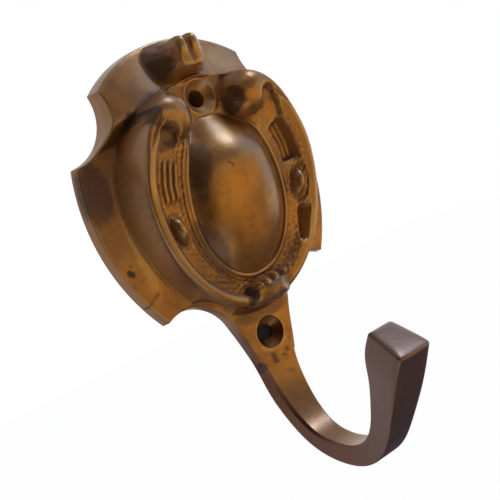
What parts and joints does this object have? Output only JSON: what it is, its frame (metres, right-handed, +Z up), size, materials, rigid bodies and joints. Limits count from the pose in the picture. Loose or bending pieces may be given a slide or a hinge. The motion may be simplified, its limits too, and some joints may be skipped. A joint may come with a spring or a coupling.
{
  "type": "wall hook",
  "caption": "Cast brass wall hook: lobed back plate, oval cartouche with domed centre and scrolls, countersunk screw holes, and an upturned hook with a flared tip.",
  "frame": {"origin": "on the back face, midway between the two screw holes", "axes": "+Y into the wall, -Y to the room, +Z up along the hook's height, +X to the right seen from the front"},
  "size_m": [0.0698, 0.051, 0.1127],
  "materials": {
    "brass": "aged, half polished cast brass"
  },
  "bodies": {
    "root": {"wall_hook": "brass"}
  },
  "joints": []
}
